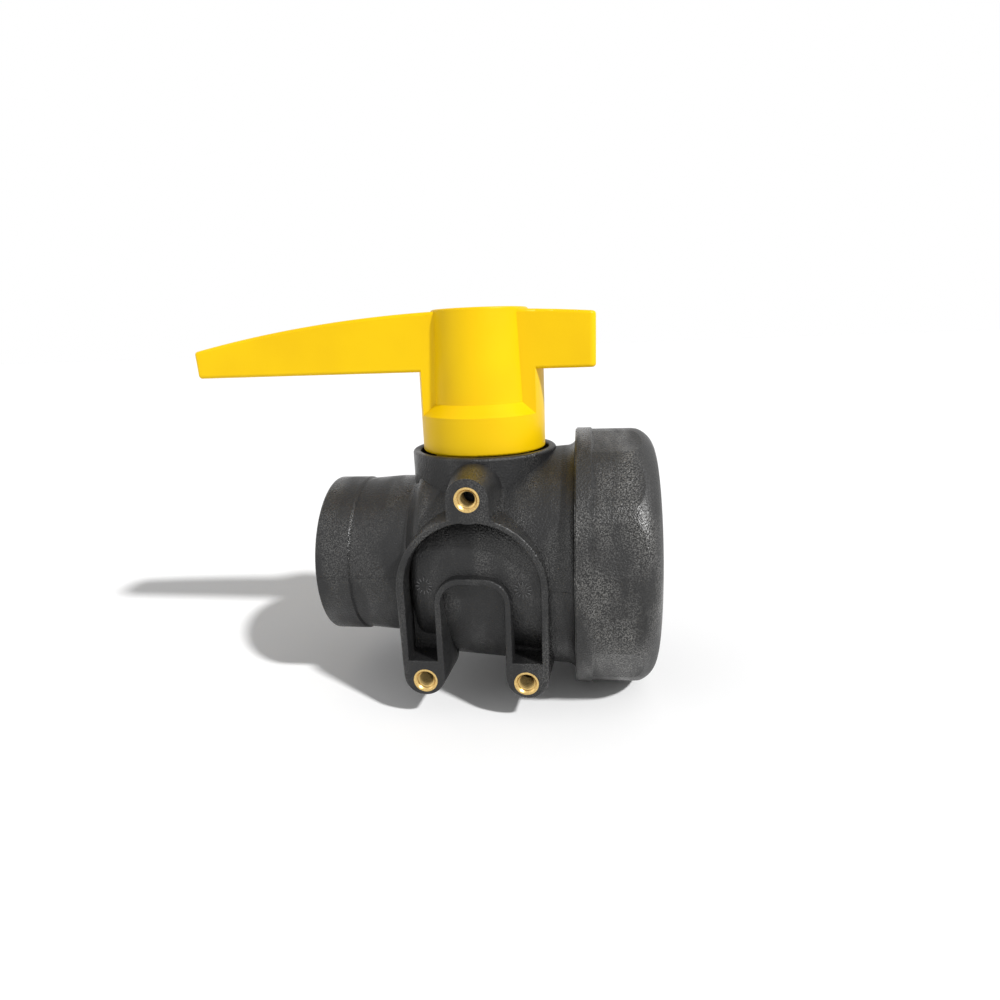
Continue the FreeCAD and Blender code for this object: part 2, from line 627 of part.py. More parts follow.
def make_stem():
    body = new_body("stem")
    flange_top = s.stem_flange_base + s.stem_flange_height
    square_base = s.gland_top + 1.0
    floor = s.stem_radius - 2 * s.oring_section
    half = s.oring_section + s.fit_gap
    low, high = ring_levels()
    points = [(0.0, s.stem_flange_base), (s.stem_flange_radius, s.stem_flange_base),
              (s.stem_flange_radius, flange_top), (s.stem_radius, flange_top)]
    for level in (low, high):
        points += [(s.stem_radius, level - half), (floor, level - half),
                   (floor, level + half), (s.stem_radius, level + half)]
    points += [(s.stem_radius, s.stem_top - 0.8), (s.stem_radius - 0.8, s.stem_top), (0.0, s.stem_top)]
    sketch = new_sketch(body, "stem_profile", "XZ_Plane")
    outline(sketch, points)
    revolve(body, "shaft", sketch, "V_Axis")

    # tang that turns the ball, across the flow when the valve is open
    sketch = new_sketch(body, "tang_outline", "XY_Plane", s.stem_flange_base)
    rectangle(sketch, s.tang_width / 2, s.tang_length / 2)
    extrude(body, "tang", sketch, s.tang_depth, reverse=True)

    # four flats make the square that the handle sits on
    side = s.stem_square / 2
    sketch = new_sketch(body, "square_outline", "XY_Plane", square_base)
    outline(sketch, [(side, -s.stem_radius - 1.0), (s.stem_radius + 1.0, -s.stem_radius - 1.0),
                     (s.stem_radius + 1.0, s.stem_radius + 1.0), (side, s.stem_radius + 1.0)])
    flat = extrude(body, "square_flat", sketch, s.stem_top - square_base + 1.0, cut=True, reverse=True)
    polar(body, "square", flat, "Z_Axis", 4, False)

    sketch = new_sketch(body, "screw_hole", "XY_Plane", s.stem_top)
    disc(sketch, CENTRE, CENTRE, s.screw_radius + s.running_gap)
    extrude(body, "screw_bore", sketch, s.screw_depth, cut=True)
    return body


def rectangle(sketch, half_x, half_y):
    outline(sketch, [(-half_x, -half_y), (half_x, -half_y), (half_x, half_y), (-half_x, half_y)])


def make_washer(label, inner, outer, base, height):
    body = new_body(label)
    sketch = new_sketch(body, "washer_profile", "XZ_Plane")
    outline(sketch, [(inner, base), (outer, base), (outer, base + height), (inner, base + height)])
    revolve(body, "washer", sketch, "V_Axis")
    return body


# ---------------------------------------------------------------- lever handle
def crest(x, drop=0.0):
    """Height of the lever's long top arc at x, lowered by a wall."""
    reach = s.lever_arc - drop
    offset = Size.of(x) + s.lever_crest_x
    return s.lever_top - s.lever_arc + leg(reach, offset)


def make_handle():
    body = new_body("handle")

    # side view of lever and tail: flat below, one long arc above
    sketch = new_sketch(body, "lever_side", "XZ_Plane", -s.lever_half)
    outline(sketch, [
        (-(s.lever_tip - 0.4), s.lever_bottom), (s.tail_end, s.lever_bottom),
        (s.tail_end, crest(s.tail_end), s.lever_arc), (-s.lever_tip, crest(-s.lever_tip)),
    ])
    extrude(body, "lever", sketch, 2 * s.lever_half)

    # plan view: the long arm narrows towards its tip
    sketch = new_sketch(body, "lever_taper", "XY_Plane", s.lever_top + 2.0)
    outline(sketch, [
        (-s.hub_radius, s.lever_half), (-s.hub_radius, s.lever_half + 2.0),
        (-(s.lever_tip + 2.0), s.lever_half + 2.0), (-(s.lever_tip + 2.0), s.lever_tip_half),
    ])
    taper = extrude(body, "taper", sketch, s.lever_top - s.lever_bottom + 4.0, cut=True)
    mirrored(body, "tapers", [taper], "XZ_Plane", False)

    # edges that the hand meets
    tail = s.tail_end.number
    round_edges(body, "tail_rounds", s.tail_round, lambda edge: all(
        abs(vertex.X - tail) < 1e-4 for vertex in edge.Vertexes) and edge.BoundBox.ZLength > 5)
    high = tail - s.tail_round.number
    round_edges(body, "lever_rounds", s.edge_round, lambda edge: not (
        edge.BoundBox.ZLength > 5 and edge.BoundBox.XMin > high - 0.1))

    # hub turned about the stem: skirt, sloped shelf, boss and top disc
    pit = s.gland_radius + s.pit_gap
    sketch = new_sketch(body, "hub_profile", "XZ_Plane")
    outline(sketch, [
        (0.0, s.hub_bottom), (s.hub_radius - s.shelf_round, s.hub_bottom, s.shelf_round),
        (s.hub_radius, s.hub_bottom + s.shelf_round), (s.hub_radius, s.hub_shelf),
        (s.boss_root_radius, s.hub_shelf + s.hub_radius - s.boss_root_radius),
        (s.boss_top_radius, s.lever_top + s.disc_rise - s.shelf_round, s.shelf_round),
        (s.boss_top_radius - s.shelf_round, s.lever_top + s.disc_rise), (0.0, s.lever_top + s.disc_rise),
    ])
    revolve(body, "hub", sketch, "V_Axis")

    # flat-sided web that joins the hub's full width to the lever above
    edge = leg(s.hub_radius, s.lever_half)
    sketch = new_sketch(body, "web_outline", "XY_Plane", s.hub_shelf)
    outline(sketch, [
        (edge, -s.lever_half, s.hub_radius), (edge, s.lever_half),
        (-edge, s.lever_half, s.hub_radius), (-edge, -s.lever_half),
    ])
    extrude(body, "web", sketch, s.lever_bottom - s.hub_shelf + 3.0)

    # lugs below the hub, one turn of the stops away from each body stop
    play = s.swivel_gap / s.hub_radius * (180.0 / math.pi)
    lug_angle = 180.0 - s.turn_angle - s.stop_angle - 2 * play
    lug_end = s.stop_centre - s.stop_angle / 2 - play
    sketch = new_sketch(body, "lug_outline", "XY_Plane", s.hub_bottom + 2.0)
    sector(sketch, pit + 1.0, s.hub_radius - 1.2, lug_end - lug_angle, lug_end)
    lug = extrude(body, "lug", sketch, s.hub_bottom + 2.0 - s.recess_floor - 0.6, reverse=True)
    polar(body, "lugs", lug, "Z_Axis", 2, True)

    # inside of the hub: pit over the gland, square socket, screw hole and head bore
    sketch = new_sketch(body, "pit_profile", "XZ_Plane")
    outline(sketch, [
        (0.0, s.recess_floor), (pit, s.recess_floor), (pit, s.gland_top + 1.0), (0.0, s.gland_top + 1.0),
    ])
    revolve(body, "pit", sketch, "V_Axis", cut=True)
    socket = s.stem_square / 2 + s.fit_gap
    sketch = new_sketch(body, "socket_outline", "XY_Plane", s.stem_top + 0.3)
    rectangle(sketch, socket, socket)
    extrude(body, "socket", sketch, s.stem_top - s.gland_top, cut=True)
    sketch = new_sketch(body, "screw_profile", "XZ_Plane")
    outline(sketch, [
        (0.0, s.stem_top - 1.0), (s.screw_hole, s.stem_top - 1.0), (s.screw_hole, s.washer_seat),
        (s.head_bore, s.washer_seat), (s.head_bore, s.lever_top - 0.4),
        (s.head_bore + 2.0, s.lever_top + 1.6), (0.0, s.lever_top + 1.6),
    ])
    revolve(body, "screw_well", sketch, "V_Axis", cut=True)

    # coring under the lever and the tail, which leaves an even wall and cross ribs
    inner_half = s.lever_tip_half - s.lever_wall + 0.6
    for name, start, end, cells in (("lever", s.lever_tip - s.core_start, s.hub_radius + 3.0, 5),
                                    ("tail", -(s.hub_radius + 2.0), -(s.tail_end - s.lever_wall), 1)):
        for cell in range(cells):
            step = (start - end) / cells
            low = -(start - step * cell)
            high = -(start - step * (cell + 1)) - (s.rib if cell < cells - 1 else 0.0)
            sketch = new_sketch(body, "%s_core_%d" % (name, cell + 1), "XZ_Plane", -inner_half)
            outline(sketch, [
                (low, s.lever_bottom - 1.0), (high, s.lever_bottom - 1.0),
                (high, crest(high, s.lever_wall), s.lever_arc - s.lever_wall),
                (low, crest(low, s.lever_wall)),
            ])
            extrude(body, "%s_cell_%d" % (name, cell + 1), sketch, 2 * inner_half, cut=True, reverse=True)
    return body


def make_screw():
    """M6 button-head screw, head up, in the hub's well."""
    body = new_body("handle_screw")
    seat = s.washer_seat + s.handle_washer_height
    core = s.screw_radius - s.screw_chamfer
    sketch = new_sketch(body, "screw_profile", "XZ_Plane")
    outline(sketch, [
        (0.0, seat - s.screw_length), (core, seat - s.screw_length),
        (s.screw_radius, seat - s.screw_length + s.screw_chamfer), (s.screw_radius, seat),
        (s.head_radius, seat), (s.head_radius, seat + s.head_edge, s.head_round),
        (s.head_radius - s.head_height + s.head_edge, seat + s.head_height),
        (0.0, seat + s.head_height),
    ])
    revolve(body, "screw", sketch, "V_Axis")
    return body


def make_insert(label, x, z):
    """Brass insert with an M6 thread, flush with the plate's face."""
    body = new_body(label)
    outer = s.insert_radius - 0.02
    waist = s.insert_radius - s.insert_waist
    length = s.insert_length
    sketch = new_sketch(body, "insert_profile", "XY_Plane")
    outline(sketch, [
        (s.insert_thread + s.insert_chamfer, 0.0), (outer, 0.0), (outer, length * 0.42),
        (waist, length * 0.42), (waist, length * 0.58), (outer, length * 0.58), (outer, length),
        (s.insert_thread, length),
        (s.insert_thread, s.insert_chamfer),
    ])
    revolve(body, "insert", sketch, "V_Axis")
    x, z = Size.of(x), Size.of(z)
    body.Placement = FreeCAD.Placement(FreeCAD.Vector(x.number, -s.plate_face.number, z.number),
                                       FreeCAD.Rotation())
    for axis, place in (("x", x), ("y", -s.plate_face), ("z", z)):
        body.setExpression("Placement.Base." + axis, place.formula)
    return body


# ---------------------------------------------------------------- assembly
ring_low, ring_high = ring_levels()
ring_section = s.oring_section - 0.05
stem_ring = s.stem_radius + s.running_gap - s.oring_section
connector_ring = s.ball_radius + s.cavity_gap - s.oring_section
energiser_x = s.seat_back - s.oring_section

subparts = [
    make_valve_body(),
    make_connector(),
    make_nut(),
    make_gasket(),
    make_ball(),
    make_stem(),
    make_handle(),
    make_screw(),
    make_seat("seat_outlet", -1.0),
    make_seat("seat_tank", 1.0),
    make_washer("thrust_washer", s.stem_radius + s.swivel_gap, s.stem_flange_radius - 0.1,
                s.stem_flange_base + s.stem_flange_height + s.fit_gap, s.washer_height),
    make_washer("handle_washer", s.handle_washer_hole, s.head_bore - s.handle_washer_gap,
                s.washer_seat, s.handle_washer_height),
    make_ring("stem_oring_lower", stem_ring, ring_section, "Z", ring_low),
    make_ring("stem_oring_upper", stem_ring, ring_section, "Z", ring_high),
    make_ring("connector_oring", connector_ring, ring_section, "X", s.thread_start - 3.3),
    make_ring("seat_oring_outlet", s.energiser_radius, ring_section, "X", -energiser_x),
    make_ring("seat_oring_tank", s.energiser_radius, ring_section, "X", energiser_x),
    make_insert("insert_top", 0.0, s.boss_z),
    make_insert("insert_left", -s.insert_spacing / 2, -s.insert_z),
    make_insert("insert_right", s.insert_spacing / 2, -s.insert_z),
]

doc.recompute()
for item in doc.Objects:
    if "Invalid" in item.State or "Error" in item.State:
        raise RuntimeError("%s is %s" % (item.Label, item.State))
for part in subparts:
    if part.Shape.isNull() or not part.Shape.isValid():
        raise RuntimeError(part.Label + " has no valid shape")
for part in subparts:
    part.Shape.exportStep("parts/%s.step" % part.Label)
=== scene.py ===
import json
import math

import bpy
from mathutils import Matrix, Vector


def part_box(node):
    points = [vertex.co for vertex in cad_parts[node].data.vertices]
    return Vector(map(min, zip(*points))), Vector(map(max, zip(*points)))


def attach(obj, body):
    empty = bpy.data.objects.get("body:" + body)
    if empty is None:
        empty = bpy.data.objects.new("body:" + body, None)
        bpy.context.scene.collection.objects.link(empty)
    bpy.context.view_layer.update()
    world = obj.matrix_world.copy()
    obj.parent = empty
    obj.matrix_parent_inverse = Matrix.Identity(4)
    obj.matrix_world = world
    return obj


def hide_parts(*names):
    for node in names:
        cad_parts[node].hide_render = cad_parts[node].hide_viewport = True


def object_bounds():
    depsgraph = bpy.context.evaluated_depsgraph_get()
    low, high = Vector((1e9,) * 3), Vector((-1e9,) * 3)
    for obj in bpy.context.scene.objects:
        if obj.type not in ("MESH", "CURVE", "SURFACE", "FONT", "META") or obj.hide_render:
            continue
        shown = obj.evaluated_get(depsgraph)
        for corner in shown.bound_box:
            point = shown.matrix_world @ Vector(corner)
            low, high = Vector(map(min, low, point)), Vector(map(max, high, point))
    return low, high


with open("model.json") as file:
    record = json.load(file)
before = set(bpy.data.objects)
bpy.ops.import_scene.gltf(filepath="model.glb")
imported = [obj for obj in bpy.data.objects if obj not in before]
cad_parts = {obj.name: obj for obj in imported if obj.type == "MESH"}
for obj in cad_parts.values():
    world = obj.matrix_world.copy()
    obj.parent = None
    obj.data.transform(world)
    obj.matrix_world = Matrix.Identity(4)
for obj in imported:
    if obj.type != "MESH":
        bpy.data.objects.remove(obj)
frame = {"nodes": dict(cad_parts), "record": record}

bl_info = {
    "name": "Tank outlet valve",
    "version": (1, 0, 0),
    "blender": (4, 5, 0),
    "location": "View3D > Sidebar > Valve",
    "description": "Threads, marks, finishes and studio for a tank outlet ball valve",
    "category": "Object",
}

# The frame is in metres: +X runs along the flow to the tank, +Z up the stem, and the
# mounting face looks towards -Y. The origin is the centre of the ball.
MM = 0.001
NODES = frame["nodes"]
MOUNTS = {mount["name"]: mount for mount in frame["record"]["mounts"]}
CAD_BOX = [list(corner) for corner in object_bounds()]


# ---------------------------------------------------------------- settings
def length(name, millimetres, description):
    return bpy.props.FloatProperty(name=name, default=millimetres * MM, min=0.0, unit="LENGTH",
                                   precision=5, description=description)


def colour(name, value, description):
    return bpy.props.FloatVectorProperty(name=name, default=value, size=3, min=0.0, max=1.0,
                                         subtype="COLOR", description=description)


def number(name, value, description, low=0.0, high=100.0):
    return bpy.props.FloatProperty(name=name, default=value, min=low, max=high,
                                   description=description)


def angle(name, degrees, description):
    return bpy.props.FloatProperty(name=name, default=math.radians(degrees), subtype="ANGLE",
                                   description=description)


class ValveThreads(bpy.types.PropertyGroup):
    """Sizes of the threads."""
    outlet_pitch: length("Outlet pitch", 2.309, "Pitch of the G 1 1/2 pipe thread")
    outlet_height: length("Outlet height", 1.45, "How far the pipe thread stands in from its root")
    tank_pitch: length("Tank pitch", 6.0, "Pitch of the coarse thread in the union nut")
    tank_height: length("Tank height", 2.3, "How far the coarse thread stands in from its root")
    insert_pitch: length("Insert pitch", 1.0, "Pitch of the M6 thread")
    insert_height: length("Insert height", 0.5, "How far the M6 thread stands in from its root")


class ValveMarks(bpy.types.PropertyGroup):
    """Sizes of the small marks that the mould leaves."""
    dial_spread: length("Dial spread", 17.0, "Distance of each date dial from the stem's line")
    dial_height: length("Dial height", 0.4, "Height of the date dials above the flow axis")
    dial_radius: length("Dial radius", 3.0, "Outside radius of a date dial's ticks")
    tick_length: length("Tick length", 1.3, "Length of a date dial's tick")
    tick_width: length("Tick width", 0.45, "Width of a date dial's tick")
    tick_proud: length("Tick proud", 0.34, "How far a tick stands out of the surface")
    line_width: length("Line width", 0.3, "Width of the mould's parting line")
    line_proud: length("Line proud", 0.12, "How far the parting line stands out")
    dial_ticks: bpy.props.IntProperty(name="Ticks", default=12, min=3,
                                      description="Number of ticks round a date dial")


class ValveColours(bpy.types.PropertyGroup):
    """Colours of the finishes."""
    body: colour("Body", (0.007, 0.007, 0.0075), "Glass-filled plastic of the body")
    body_fleck: colour("Body fleck", (0.085, 0.084, 0.081), "Glass flecks in the body's skin")
    nut: colour("Nut", (0.010, 0.010, 0.010), "Glass-filled plastic of the nut")
    nut_fleck: colour("Nut fleck", (0.150, 0.147, 0.140), "Glass flecks in the nut's skin")
    # painted highlight: the raised marks are coloured lighter than the body, standing for the
    # light their edges catch
    mark: colour("Marks", (0.085, 0.085, 0.087), "Rubbed plastic of the raised marks")
    handle: colour("Handle", (0.86, 0.555, 0.001), "Yellow plastic of the lever handle")
    brass: colour("Brass", (0.80, 0.56, 0.22), "Turned brass of the inserts")
    steel: colour("Steel", (0.62, 0.62, 0.63), "Stainless steel of the screw and washer")
    inner: colour("Inner parts", (0.028, 0.028, 0.031), "Plastic of the ball, stem and connector")
    seat: colour("Seat", (0.80, 0.80, 0.77), "PTFE of the seats and thrust washer")
    rubber: colour("Rubber", (0.018, 0.018, 0.019), "Rubber of the gasket and O-rings")


class ValveStage(bpy.types.PropertyGroup):
    """Camera and light."""
    camera_place: bpy.props.FloatVectorProperty(
        name="Camera place", default=(0.038553, -0.243676, 0.082645), subtype="TRANSLATION",
        description="Where the camera stands")
    camera_yaw: angle("Camera yaw", -7.85, "Turn of the camera from +Y towards +X")
    camera_pitch: angle("Camera pitch", 14.1, "How far the camera looks down")
    camera_roll: angle("Camera roll", -2.18, "Turn of the camera about its line of sight")
    lens: number("Lens", 23.833, "Focal length in millimetres on a 36 mm sensor", 1.0, 500.0)
    key_strength: number("Key strength", 3.2, "Strength of the soft lamp on the right")
    key_size: angle("Key size", 4.0, "How wide the soft lamp on the right looks")
    fill_strength: number("Fill strength", 0.25, "Strength of the soft lamp on the left")
    sky_strength: number("Room strength", 0.40, "Strength of the light from all round")
    floor_gap: length("Floor gap", 0.1, "Gap between the lowest point and the floor")
    floor_size: length("Floor size", 12000.0, "Width of the floor")


# ---------------------------------------------------------------- modelling helpers
def clear_selection():
    if bpy.context.object and bpy.context.object.mode != "OBJECT":
        bpy.ops.object.mode_set(mode="OBJECT")
    bpy.ops.object.select_all(action="DESELECT")


def added(name):
    """The object that the last primitive made, under its own name."""
    piece = bpy.context.object
    piece.name = piece.data.name = name
    return piece


def activate(piece):
    clear_selection()
    piece.select_set(True)
    bpy.context.view_layer.objects.active = piece


def settle(piece):
    """Puts the piece's place, turn and size into its mesh."""
    activate(piece)
    bpy.ops.object.transform_apply(location=True, rotation=True, scale=True)


def pick(piece, vertices=None, faces=None):
    """Edit mode with only the vertices or faces chosen that pass the test."""
    activate(piece)
    mode = "VERT" if vertices else "FACE"
    bpy.ops.object.mode_set(mode="EDIT")
    bpy.ops.mesh.select_mode(type=mode)
    bpy.ops.mesh.select_all(action="DESELECT")
    bpy.ops.object.mode_set(mode="OBJECT")
    for item in (piece.data.vertices if vertices else piece.data.polygons):
        item.select = bool((vertices or faces)(item))
    bpy.ops.object.mode_set(mode="EDIT")


def finish_mesh(piece, merge=0.001 * MM, smooth=math.radians(35)):
    """Merges doubles, points faces outwards and shades the piece."""
    activate(piece)
    bpy.ops.object.mode_set(mode="EDIT")
    bpy.ops.mesh.select_all(action="SELECT")
    bpy.ops.mesh.remove_doubles(threshold=merge)
    bpy.ops.mesh.normals_make_consistent(inside=False)
    bpy.ops.object.mode_set(mode="OBJECT")
    bpy.ops.object.shade_smooth_by_angle(angle=smooth)


def apply_modifier(piece, kind, **values):
    """Adds a modifier with the given values and applies it."""
    activate(piece)
    modifier = piece.modifiers.new(kind.title(), kind)
    for key, value in values.items():
        setattr(modifier, key, value)
    bpy.ops.object.modifier_apply(modifier=modifier.name)


def join(pieces, name):
    """One mesh object out of several."""
    clear_selection()
    for piece in pieces:
        piece.select_set(True)
    bpy.context.view_layer.objects.active = pieces[0]
    bpy.ops.object.join()
    return added(name)


def on_surface(node, start, direction):
    """Point and outward normal where a ray first meets a CAD node."""
    hit, place, normal, _ = NODES[node].ray_cast(Vector(start), Vector(direction))
    if not hit:
        raise RuntimeError("no surface of %s under the mark at %s" % (node, tuple(start)))
    return place, normal


def dress(piece, finish, body):
    """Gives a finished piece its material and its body."""
    piece.data.materials.clear()
    piece.data.materials.append(finish)
    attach(piece, body)


# ---------------------------------------------------------------- finishes
class Finish:
    """A material under construction: a Principled shader and a few named nodes."""

    def __init__(self, name, base, roughness, metallic=0.0, specular=0.5):
        self.material = bpy.data.materials.new(name)
        self.material.use_nodes = True
        self.nodes = self.material.node_tree.nodes
        self.links = self.material.node_tree.links
        self.shader = self.nodes["Principled BSDF"]
        self.shader.inputs["Base Color"].default_value = (*base, 1.0)
        self.shader.inputs["Roughness"].default_value = roughness
        self.shader.inputs["Metallic"].default_value = metallic
        self.shader.inputs["Specular IOR Level"].default_value = specular
        self.place = self.nodes.new("ShaderNodeTexCoord").outputs["Object"]

    def noise(self, size, detail=2.0, stretch=(1.0, 1.0, 1.0)):
        """Cloudy pattern whose patches are about one size across."""
        mapping = self.nodes.new("ShaderNodeMapping")
        mapping.inputs["Scale"].default_value = stretch
        texture = self.nodes.new("ShaderNodeTexNoise")
        texture.inputs["Scale"].default_value = 1.0 / size
        texture.inputs["Detail"].default_value = detail
        self.links.new(self.place, mapping.inputs["Vector"])
        self.links.new(mapping.outputs["Vector"], texture.inputs["Vector"])
        return texture.outputs["Fac"]

    def cells(self, size):
        """Close-packed grains about one size across."""
        texture = self.nodes.new("ShaderNodeTexVoronoi")
        texture.inputs["Scale"].default_value = 1.0 / size
        self.links.new(self.place, texture.inputs["Vector"])
        return texture.outputs["Distance"]

    def spread(self, source, low, high, to_low, to_high):
        """A pattern's range moved to another range."""
        node = self.nodes.new("ShaderNodeMapRange")
        for socket, value in zip(("From Min", "From Max", "To Min", "To Max"),
                                 (low, high, to_low, to_high)):
            node.inputs[socket].default_value = value
        self.links.new(source, node.inputs["Value"])
        return node.outputs["Result"]

    def combine(self, first, second):
        """Two patterns multiplied."""
        node = self.nodes.new("ShaderNodeMath")
        node.operation = "MULTIPLY"
        self.links.new(first, node.inputs[0])
        self.links.new(second, node.inputs[1])
        return node.outputs["Value"]

    def blend(self, amount, dark, light):
        """Base colour that goes from dark to light as the amount goes from 0 to 1."""
        node = self.nodes.new("ShaderNodeMix")
        node.data_type = "RGBA"
        node.inputs["A"].default_value = (*dark, 1.0)
        node.inputs["B"].default_value = (*light, 1.0)
        self.links.new(amount, node.inputs["Factor"])
        self.links.new(node.outputs["Result"], self.shader.inputs["Base Color"])

    def roughen(self, source):
        self.links.new(source, self.shader.inputs["Roughness"])

    def bump(self, source, depth, strength):
        """Relief of a depth, laid over any relief that is there already."""
        node = self.nodes.new("ShaderNodeBump")
        node.inputs["Strength"].default_value = strength
        node.inputs["Distance"].default_value = depth
        self.links.new(source, node.inputs["Height"])
        if self.shader.inputs["Normal"].is_linked:
            before = self.shader.inputs["Normal"].links[0].from_socket
            self.links.new(before, node.inputs["Normal"])
        self.links.new(node.outputs["Normal"], self.shader.inputs["Normal"])


def glass_filled(name, base, fleck, roughness, grain, amount):
    """Black moulded plastic whose glass fibres show as pale flecks and a grainy skin."""
    finish = Finish(name, base, roughness, specular=0.42)
    fine = finish.noise(grain, 3.0)
    grains = finish.cells(1.6 * grain)
    flow = finish.noise(11.0 * MM, 3.0, (1.0, 0.4, 0.4))
    flecks = finish.spread(fine, 0.44, 0.64, 0.0, 1.0)
    patches = finish.spread(flow, 0.44, 0.62, 0.12 * amount, amount)
    finish.blend(finish.combine(flecks, patches), base, fleck)
    finish.roughen(finish.spread(flow, 0.38, 0.62, roughness + 0.16, roughness - 0.12))
    finish.bump(grains, 0.20 * MM, 0.6)
    finish.bump(fine, 0.18 * MM, 0.8)
    finish.bump(flow, 0.8 * MM, 0.5)
    return finish.material


def yellow_plastic(name, base):
    """Glossy moulded plastic with a faint orange peel and slow changes of shade."""
    finish = Finish(name, base, 0.36, specular=0.16)
    slow = finish.noise(22.0 * MM, 1.0)
    deeper = (base[0] * 0.95, base[1] * 0.92, base[2])
    finish.blend(finish.spread(slow, 0.35, 0.65, 0.0, 1.0), deeper, base)
    finish.roughen(finish.spread(finish.noise(3.0 * MM), 0.3, 0.7, 0.34, 0.44))
    finish.bump(finish.noise(1.4 * MM), 0.02 * MM, 0.25)
    return finish.material


def smooth_black(name, base):
    """Smooth machined or polished black plastic with light rub marks."""
    finish = Finish(name, base, 0.32)
    rubs = finish.noise(2.5 * MM, 3.0, (1.0, 0.2, 0.2))
    lighter = tuple(channel * 1.7 for channel in base)
    finish.blend(finish.spread(rubs, 0.45, 0.75, 0.0, 1.0), base, lighter)
    finish.roughen(finish.spread(rubs, 0.3, 0.7, 0.26, 0.42))
    finish.bump(rubs, 0.02 * MM, 0.3)
    return finish.material


def turned_metal(name, base, roughness, stretch, bore_shade_from=None):
    """Metal with fine tool marks that run round the turned part.

    Behind a depth along +Y, when one is given, the metal darkens gradually: painted shade deep in
    the bore."""
    finish = Finish(name, base, roughness, metallic=1.0)
    marks = finish.noise(0.35 * MM, 2.0, stretch)
    darker = tuple(channel * 0.72 for channel in base)
    marks_and_bore_shade = finish.spread(marks, 0.35, 0.65, 0.0, 1.0)
    # painted shade: past the given depth the brass is darkened towards the back of the bore
    if bore_shade_from is not None:
        darker = tuple(channel * 0.22 for channel in base)
        across = finish.nodes.new("ShaderNodeSeparateXYZ")
        finish.links.new(finish.place, across.inputs["Vector"])
        depth = finish.spread(across.outputs["Y"], bore_shade_from, bore_shade_from + 3.0 * MM, 1.0, 0.0)
        marks_and_bore_shade = finish.combine(depth, finish.spread(marks, 0.35, 0.65, 0.6, 1.0))
    finish.blend(marks_and_bore_shade, darker, base)
    finish.roughen(finish.spread(marks, 0.3, 0.7, roughness - 0.06, roughness + 0.10))
    finish.bump(marks, 0.02 * MM, 0.4)
    return finish.material


def ptfe(name, base):
    """White, waxy plastic with faint clouds."""
    finish = Finish(name, base, 0.45)
    clouds = finish.noise(4.0 * MM, 2.0)
    shade = tuple(channel * 0.93 for channel in base)
    finish.blend(finish.spread(clouds, 0.4, 0.6, 0.0, 1.0), shade, base)
    finish.bump(clouds, 0.02 * MM, 0.3)
    return finish.material


def rubber(name, base):
    """Dull black rubber with a little dust."""
    finish = Finish(name, base, 0.75, specular=0.35)
    dust = finish.noise(0.8 * MM, 3.0)
    dusty = tuple(channel * 2.2 for channel in base)
    finish.blend(finish.spread(dust, 0.5, 0.8, 0.0, 1.0), base, dusty)
    finish.bump(dust, 0.03 * MM, 0.4)
    return finish.material


FINISHES = {}


class VALVE_OT_finishes(bpy.types.Operator):
    """Make every finish and give each CAD node its own"""
    bl_idname = "valve.finishes"
    bl_label = "Finishes"

    def execute(self, context):
        c = context.scene.valve_colours
        along, up, across = (1.0, 1.0, 0.15), (1.0, 1.0, 6.0), (1.0, 6.0, 1.0)
        FINISHES.update({
            "body_plastic": glass_filled("body_black", tuple(c.body), tuple(c.body_fleck),
                                         0.36, 0.42 * MM, 0.8),
            "nut_plastic": glass_filled("nut_black", tuple(c.nut), tuple(c.nut_fleck),
                                        0.36, 0.45 * MM, 1.0),
            # the date dials' lighter colour is a painted highlight
            "raised_marks": glass_filled("mark_black", tuple(c.mark), tuple(c.body_fleck),
                                         0.34, 0.42 * MM, 0.6),
            "connector_plastic": smooth_black("connector_black", tuple(c.inner)),
            "ball_plastic": smooth_black("ball_black", tuple(c.inner)),
            "stem_plastic": smooth_black("stem_black", tuple(c.inner)),
            "handle_yellow": yellow_plastic("handle_yellow", tuple(c.handle)),
            # the inserts' brass gets painted shade deep in their bores
            "insert_brass": turned_metal("insert_brass", tuple(c.brass), 0.28, across,
                                         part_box("insert_top")[0].y + 0.6 * MM),
            "screw_steel": turned_metal("screw_steel", tuple(c.steel), 0.30, up),
            "washer_steel": turned_metal("washer_steel", tuple(c.steel), 0.35, along),
            "seat_ptfe": ptfe("seat_white", tuple(c.seat)),
            "gasket_rubber": rubber("gasket_rubber", tuple(c.rubber)),
            "oring_rubber": rubber("oring_rubber", tuple(c.rubber)),
        })
        for row in frame["record"]["subparts"]:
            materials = NODES[row["node"]].data.materials
            materials.clear()
            materials.append(FINISHES[row["material_slot"]])
        return {"FINISHED"}


